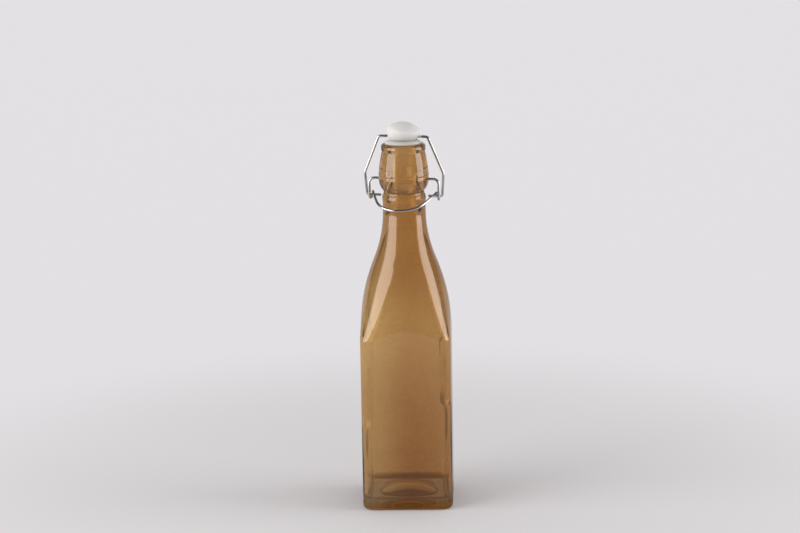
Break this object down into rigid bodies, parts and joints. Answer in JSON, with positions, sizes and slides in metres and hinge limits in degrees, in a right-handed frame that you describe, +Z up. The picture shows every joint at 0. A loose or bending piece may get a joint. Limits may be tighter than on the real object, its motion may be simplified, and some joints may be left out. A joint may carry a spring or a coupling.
{
  "type": "swing top bottle",
  "caption": "Square glass bottle with a round neck, closed by a plastic stopper and gasket on a hinged wire bail and over-centre lever.",
  "frame": {"origin": "centre of the base, on the surface that the bottle stands on", "axes": "+Z up along the neck, -Y towards the front face and the lever ring, +X to the right seen from the front"},
  "size_m": [0.0656, 0.0656, 0.2822],
  "materials": {
    "brown_glass": "clear glass with an even translucent brown coating, fire polished",
    "bright_wire": "bright plated steel wire",
    "white_plastic": "satin moulded plastic",
    "pale_seal": "translucent pale silicone"
  },
  "bodies": {
    "bottle": {"glass_bottle": "brown_glass"},
    "lever": {"lever_wire": "bright_wire"},
    "bail": {"bail_wire": "bright_wire"},
    "stopper": {"stopper": "white_plastic", "sealing_gasket": "pale_seal"}
  },
  "joints": [
    {"name": "lever_swing", "type": "hinge", "parent": "bottle", "child": "lever", "pos_m": [0, 0, 0.24], "axis": [-0.9816, 0.1908, 0], "range_deg": [0, 90]},
    {"name": "bail_swing", "type": "hinge", "parent": "lever", "child": "bail", "pos_m": [0.00044, 0.00226, 0.2272], "axis": [-0.9816, 0.1908, 0], "range_deg": [-63, 0]},
    {"name": "stopper_tilt", "type": "hinge", "parent": "bail", "child": "stopper", "pos_m": [0, 0, 0.2708], "axis": [-0.9816, 0.1908, 0], "range_deg": [-27, 0]}
  ],
  "couplings": [
    {"joint": "bail_swing", "follows": "lever_swing", "ratio": -0.7},
    {"joint": "stopper_tilt", "follows": "lever_swing", "ratio": -0.3}
  ]
}
